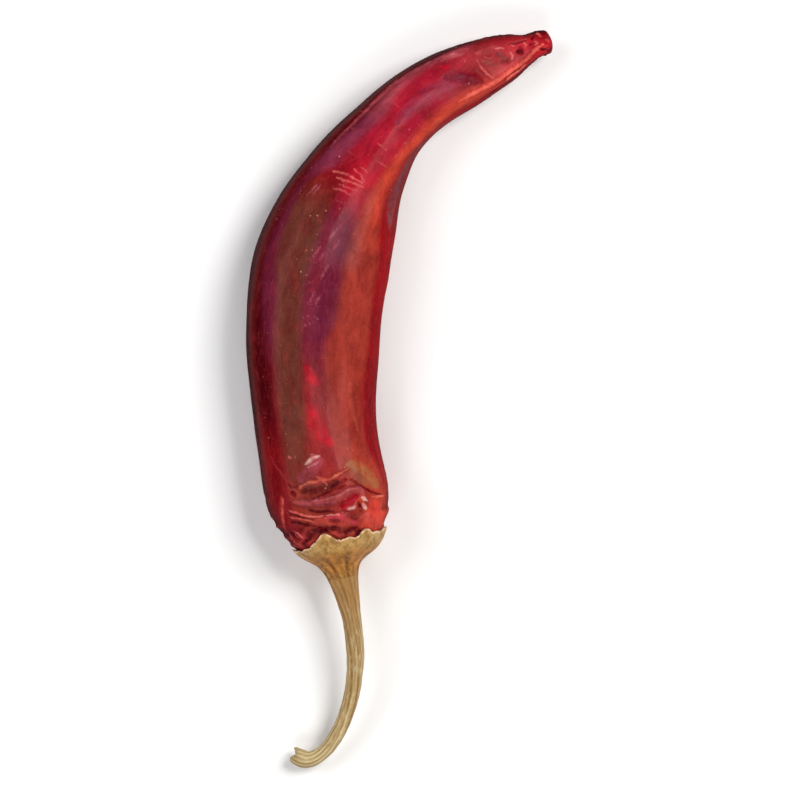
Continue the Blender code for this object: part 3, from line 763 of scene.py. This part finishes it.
class Finish:
    """A material, with short calls for the nodes that it is made of."""

    def __init__(self, name, **settings):
        self.material = bpy.data.materials.new(name)
        self.material.use_nodes = True
        self.tree = self.material.node_tree
        self.shader = self.tree.nodes["Principled BSDF"]
        for key, value in settings.items():
            self.shader.inputs[key.replace("_", " ")].default_value = value

    def node(self, kind, links=None, values=None, **settings):
        made = self.tree.nodes.new(kind)
        for key, value in settings.items():
            setattr(made, key, value)
        for key, value in (values or {}).items():
            made.inputs[key].default_value = value
        for key, source in (links or {}).items():
            self.tree.links.new(source, made.inputs[key])
        return made

    def attribute(self, name, output):
        return self.node("ShaderNodeAttribute", attribute_name=name).outputs[output]

    def stretched(self, source, scale):
        return self.node("ShaderNodeMapping", {"Vector": source}, {"Scale": scale}).outputs["Vector"]

    def noise(self, source, scale, detail=4.0, roughness=0.55, distortion=0.0):
        values = {"Scale": scale, "Detail": detail, "Roughness": roughness, "Distortion": distortion}
        return self.node("ShaderNodeTexNoise", {"Vector": source}, values).outputs["Fac"]

    def grained(self, source, squeeze, detail=4.0, roughness=0.55, distortion=0.0):
        """Noise that is squeezed along x, y and z."""
        return self.noise(self.stretched(source, squeeze), 1.0, detail, roughness, distortion)

    def ramp(self, source, low, high, start=0.0, end=1.0):
        values = {"From Min": low, "From Max": high, "To Min": start, "To Max": end}
        return self.node("ShaderNodeMapRange", {"Value": source}, values).outputs["Result"]

    def feed(self, made, sockets):
        """Links each source to its socket, or sets a plain number or colour there."""
        for key, value in sockets.items():
            if isinstance(value, bpy.types.NodeSocket):
                self.tree.links.new(value, made.inputs[key])
            else:
                made.inputs[key].default_value = value if np.isscalar(value) else (*value, 1.0)

    def blend(self, share, first, second):
        """The first colour with the second over it, by a share."""
        made = self.node("ShaderNodeMix", data_type="RGBA")
        # Socket 0 is the share, 6 and 7 are the two colours, and output 2 is the mixed one.
        self.feed(made, {0: share, 6: first, 7: second})
        return made.outputs[2]

    def tint(self, colour, pattern, shown, strength, over):
        """The colour with another over it where the pattern is in the range that shows."""
        return self.blend(self.ramp(pattern, *shown, 0.0, strength), colour, rgb(*over))

    def maths(self, operation, first, second):
        made = self.node("ShaderNodeMath", operation=operation)
        self.feed(made, {0: first, 1: second})
        return made.outputs[0]

    def bump(self, height, distance, under=None):
        """Relief of that many metres, over other relief if it is given."""
        links = {"Height": height}
        if under is not None:
            links["Normal"] = under
        return self.node("ShaderNodeBump", links, {"Distance": distance}).outputs["Normal"]

    def plug(self, name, source):
        self.tree.links.new(source, self.shader.inputs[name])


def pod_finish():
    """Glossy dried skin over its painted bands: soft blotches, streaks, scratches and flecks."""
    skin = Finish("chilli_skin", Coat_Weight=0.09, Coat_IOR=1.50, Specular_IOR_Level=0.0)
    places = skin.attribute("straight", "Vector")
    colour = skin.attribute("skin", "Color")
    for squeeze, texture, shown, strength, over in SKIN_LAYERS:
        colour = skin.tint(colour, skin.grained(places, squeeze, *texture), shown, strength, over)
    flecks = skin.node("ShaderNodeTexVoronoi", {"Vector": places}, {"Scale": 0.9, "Randomness": 1.0})
    fleck = skin.ramp(flecks.outputs["Distance"], 0.03, 0.22, 0.9, 0.0)
    chosen = skin.node("ShaderNodeSeparateColor", {"Color": flecks.outputs["Color"]}).outputs[0]
    fleck = skin.maths("MULTIPLY", fleck, skin.ramp(chosen, 0.74, 1.0, 0.0, 0.9))
    speckled = skin.grained(places, (0.12, 0.12, 0.05), 3.0)
    fleck = skin.maths("MULTIPLY", fleck, skin.ramp(speckled, 0.46, 0.62))
    skin.plug("Base Color", skin.blend(fleck, colour, rgb(*FLECK)))
    dullness = skin.grained(places, (0.5, 0.5, 0.25), 4.0, 0.6)
    skin.plug("Roughness", skin.ramp(dullness, 0.3, 0.75, 0.30, 0.50))
    skin.plug("Coat Roughness", skin.ramp(dullness, 0.3, 0.75, 0.16, 0.36))
    ridges = skin.grained(places, (1.9, 1.9, 0.34), 5.0, 0.62)
    pores = skin.noise(places, 2.8, 4.0, 0.6)
    bumped = skin.bump(ridges, 0.00012)
    skin.plug("Normal", skin.bump(pores, 0.00009, under=bumped))
    return skin.material


def calyx_finish():
    """Matt golden paper, mottled brown, with fibres that run to the stem."""
    paper = Finish("calyx_paper", Sheen_Weight=0.05, Specular_IOR_Level=0.2)
    places = paper.attribute("straight", "Vector")
    colour = paper.attribute("tone", "Color")
    mottle = paper.grained(places, (0.62, 0.62, 0.5), 7.0, 0.74)
    colour = paper.tint(colour, mottle, (0.45, 0.60), 0.8, (138, 92, 36))
    light = paper.grained(places, (1.4, 1.4, 0.9), 6.0, 0.7, 0.5)
    colour = paper.tint(colour, light, (0.52, 0.70), 0.6, (224, 178, 108))
    fibres = paper.grained(places, (3.4, 3.4, 0.55), 5.0, 0.66)
    colour = paper.tint(colour, fibres, (0.54, 0.74), 0.6, (112, 66, 20))
    paper.plug("Base Color", colour)
    paper.plug("Roughness", paper.ramp(mottle, 0.3, 0.7, 0.5, 0.8))
    bumped = paper.bump(fibres, 0.00022)
    paper.plug("Normal", paper.bump(light, 0.00014, under=bumped))
    return paper.material


def stem_finish():
    """Straw with broken brown fibres along it, and pale patches away from the calyx."""
    straw = Finish("stem_straw", Specular_IOR_Level=0.3)
    places = straw.attribute("straight", "Vector")
    colour = straw.attribute("tone", "Color")
    fibres = straw.grained(places, (3.2, 3.2, 0.34), 6.0, 0.68)
    colour = straw.tint(colour, fibres, (0.52, 0.72), 0.7, (116, 78, 34))
    patches = straw.grained(places, (1.6, 1.6, 0.36), 6.0, 0.7)
    depth = straw.node("ShaderNodeSeparateXYZ", {"Vector": places}).outputs["Z"]
    patchy = straw.ramp(patches, 0.50, 0.70, 0.0, 0.7)
    far = straw.ramp(depth, 12.0, 30.0, 0.15, 1.0)
    colour = straw.blend(straw.maths("MULTIPLY", patchy, far), colour, rgb(232, 214, 168))
    straw.plug("Base Color", colour)
    straw.plug("Roughness", straw.ramp(patches, 0.3, 0.7, 0.45, 0.7))
    bumped = straw.bump(fibres, 0.00018)
    straw.plug("Normal", straw.bump(patches, 0.00010, under=bumped))
    return straw.material


def add_piece(name, mesh, finish, node):
    mesh.materials.append(finish)
    made = bpy.data.objects.new(name, mesh)
    bpy.context.scene.collection.objects.link(made)
    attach(made, "root")
    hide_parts(node)


def make_pod():
    under = -DOME_DEPTH * np.cos(np.linspace(0, math.pi / 2, DOME_RINGS + 1)[1:-1] * DOME_SHARE)
    body = stations(POD_SPACING, 0.0, POD_TIP - TIP_BLUNT)
    blunt = POD_TIP - TIP_BLUNT + TIP_BLUNT * np.sin(np.linspace(0, TIP_TURN, TIP_RINGS + 1)[1:])
    rows = np.concatenate([under, body, blunt])
    points, along, around, relief = pod_surface(rows, POD_SIDES)
    axis = Axis(POD_HEADINGS, POD_HEIGHTS)
    mesh = loft("pod_skin", points, axis.place(-DOME_DEPTH, 0, 0), axis.place(POD_TIP, 0, 0))
    radius = (curve(POD_HALF_WIDTHS, along) + curve(POD_HALF_HEIGHTS, along)) / 2
    places = straight(along, around, radius)
    # The skin's colours, brighter on crests and with painted shade in its hollows.
    paint(mesh, "skin", brighten_crests_shade_hollows(skin_colours(along, around, places, radius), relief))
    lay(mesh, "straight", places)
    add_piece("pod_skin", mesh, pod_finish(), "pod")


def jagged(around):
    """How far the calyx's rim reaches towards the pod, with small nicks in its teeth."""
    rim = curve(CALYX_RIM, around)
    for fineness, height, depth in RIM_NICKS:
        circle = [(math.cos(a) * fineness, math.sin(a) * fineness, height) for a in np.radians(around)]
        rim = rim + np.array([noise.noise(Vector(place)) for place in circle]) * depth
    return rim


def calyx_colour(depth, rim, groove, inside):
    """Khaki paper, golden towards the stem and brown in its grooves, with a pale rim."""
    colour = np.repeat(rgb(*PAPER)[None], CALYX_SIDES, axis=0)
    colour = mixed(colour, rgb(*PAPER_GOLD), ease(depth, 2.0, 4.6))
    colour = mixed(colour, rgb(*PAPER_NECK), ease(depth, 6.0, 8.6))
    colour = mixed(colour, rgb(*PAPER_GROOVE), groove * ease(depth, 1.8, 5.0))
    colour = mixed(colour, rgb(*PAPER_EDGE), 1 - ease(depth - rim, 0.16, 0.55))
    if inside:
        colour = mixed(colour, rgb(*PAPER_INSIDE), np.full(CALYX_SIDES, 0.6))
    return colour


def make_calyx():
    around = np.arange(CALYX_SIDES) * 360 / CALYX_SIDES
    angle = np.radians(around)
    rim = -jagged(around)
    outside = np.linspace(0, 1, CALYX_OUTER_RINGS)
    shares = np.concatenate([outside, np.linspace(CALYX_INNER_START, 0, CALYX_INNER_RINGS)])
    rows, tones, places = [], [], []
    for number, share in enumerate(shares):
        inside = number >= CALYX_OUTER_RINGS
        depth = rim * (1 - ease(share, 0.0, RIM_SHARE)) + share * CALYX_END
        radius, groove = cup_radius(depth, around)
        if inside:
            radius = np.minimum(radius - CALYX_WALL - CALYX_NECK_WALL * share, CALYX_BORE)
        side = radius * np.cos(angle)
        rise = radius * (CALYX_FLATTENING + (1 - CALYX_FLATTENING) * share) * np.sin(angle)
        rows.append(cup_place(depth, side, rise))
        tones.append(calyx_colour(depth, rim, groove, inside))
        places.append(np.stack([radius * np.cos(angle), radius * np.sin(angle), depth], axis=-1))
    mesh = loft("calyx_cup", np.array(rows), joined=True)
    paint(mesh, "tone", np.array(tones))
    lay(mesh, "straight", np.array(places))
    add_piece("calyx_cup", mesh, calyx_finish(), "calyx")


def stem_colours(depth, groove, places):
    """Brown by the calyx and paler towards the end, streaked along and dark in the grooves."""
    colours = np.broadcast_to(rgb(*STRAW_NECK), (*groove.shape, 3))
    colours = mixed(colours, rgb(*STRAW), ease(depth, 12, 27))
    colours = mixed(colours, rgb(*STRAW_END), ease(depth, 38, 52))
    ridge = grain(places, (0.8, 0.8, 16), 14)
    late = 0.35 + 0.65 * ease(depth, 10, 26)
    colours = mixed(colours, rgb(*STRAW_PALE), np.clip(ridge * 1.6, 0, 0.7) * late)
    colours = mixed(colours, rgb(*STRAW_DULL), np.clip(-ridge * 1.6, 0, 0.6))
    return mixed(colours, rgb(*STRAW_GROOVE), groove * 0.75)


def make_stem():
    straight_rows = np.arange(STEM_START, STEM_HOOK, STEM_STEP)
    rows = np.concatenate([straight_rows, np.arange(STEM_HOOK, STEM_END, STEM_HOOK_STEP), [STEM_END]])
    around = (np.arange(STEM_SIDES) * 360 / STEM_SIDES)[None, :]
    angle = np.radians(around)
    # The end is split: it dips in the middle and at three places round its edge.
    split = 0.75 * np.sin(angle) ** 2 + 0.25 * np.cos(3 * angle) - 0.1
    depth = rows[:, None] - ease(rows, 52, STEM_END)[:, None] * split
    radius, groove = cup_radius(depth, around)
    places = straight(depth, around, np.full_like(depth, STEM_RADIUS))
    radius = radius + grain(places, (2.2, 2.2, 6), 12) * 0.17 * ease(depth, 9, 14)
    radius = radius + grain(places, (1.1, 1.1, 1.6), 13) * 0.07
    radius = radius - 0.06 * (1 - ease(depth, STEM_START, STEM_START + 1))
    radius = radius * (1 - 0.2 * ease(rows, STEM_END - 0.4, STEM_END)[:, None])
    axis = Axis(STEM_HEADINGS, STEM_HEIGHTS)
    points = axis.place(depth, -radius * np.cos(angle), radius * np.sin(angle))
    mesh = loft("stem_stalk", points, None, axis.place(STEM_END - SCAR_DEPTH, 0, 0))
    paint(mesh, "tone", stem_colours(depth, groove, places))
    lay(mesh, "straight", places)
    add_piece("stem_stalk", mesh, stem_finish(), "stem")


def make_floor():
    mesh = bpy.data.meshes.new("floor")
    corners = [(-1, -1), (1, -1), (1, 1), (-1, 1)]
    mesh.from_pydata([(x * FLOOR_REACH, y * FLOOR_REACH, FLOOR) for x, y in corners], [], [(0, 1, 2, 3)])
    ground = Finish("floor_paint", Roughness=0.9, Specular_IOR_Level=0.1)
    places = ground.node("ShaderNodeTexCoord").outputs["Object"]
    cloudy = ground.ramp(ground.noise(places, 9.0, 3.0), 0.3, 0.7)
    ground.plug("Base Color", ground.blend(cloudy, *FLOOR_TONES))
    mesh.materials.append(ground.material)
    floor = bpy.data.objects.new("floor", mesh)
    bpy.context.scene.collection.objects.link(floor)


def add_light(name, place, size, power, colour):
    data = bpy.data.lights.new(name, "AREA")
    data.shape = "RECTANGLE"
    data.size, data.size_y = size
    data.energy = power
    data.color = colour
    made = bpy.data.objects.new(name, data)
    made.location = place
    made.rotation_mode = "QUATERNION"
    made.rotation_quaternion = (Vector(LIT_PLACE) - Vector(place)).to_track_quat("-Z", "Y")
    bpy.context.scene.collection.objects.link(made)


def make_lights():
    world = bpy.data.worlds.new("studio")
    world.use_nodes = True
    sky = world.node_tree.nodes["Background"]
    sky.inputs["Color"].default_value = SKY_COLOUR
    sky.inputs["Strength"].default_value = SKY_STRENGTH
    bpy.context.scene.world = world
    for light in LIGHTS:
        add_light(*light)


def make_camera():
    """A long lens that looks straight down."""
    data = bpy.data.cameras.new("camera")
    data.lens = LENS
    data.sensor_width = SENSOR
    data.clip_start, data.clip_end = 0.1, 20
    made = bpy.data.objects.new("camera", data)
    bpy.context.scene.collection.objects.link(made)
    distance = HALF_VIEW * MM * LENS / (SENSOR / 2)
    made.location = (VIEW_CENTRE[0] * MM, VIEW_CENTRE[1] * MM, VIEW_HEIGHT * MM + distance)
    made.rotation_euler = (0, 0, 0)
    bpy.context.scene.camera = made


def main():
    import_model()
    make_pod()
    make_calyx()
    make_stem()
    make_floor()
    make_lights()
    make_camera()
    bpy.context.scene.view_settings.view_transform = "Standard"


main()
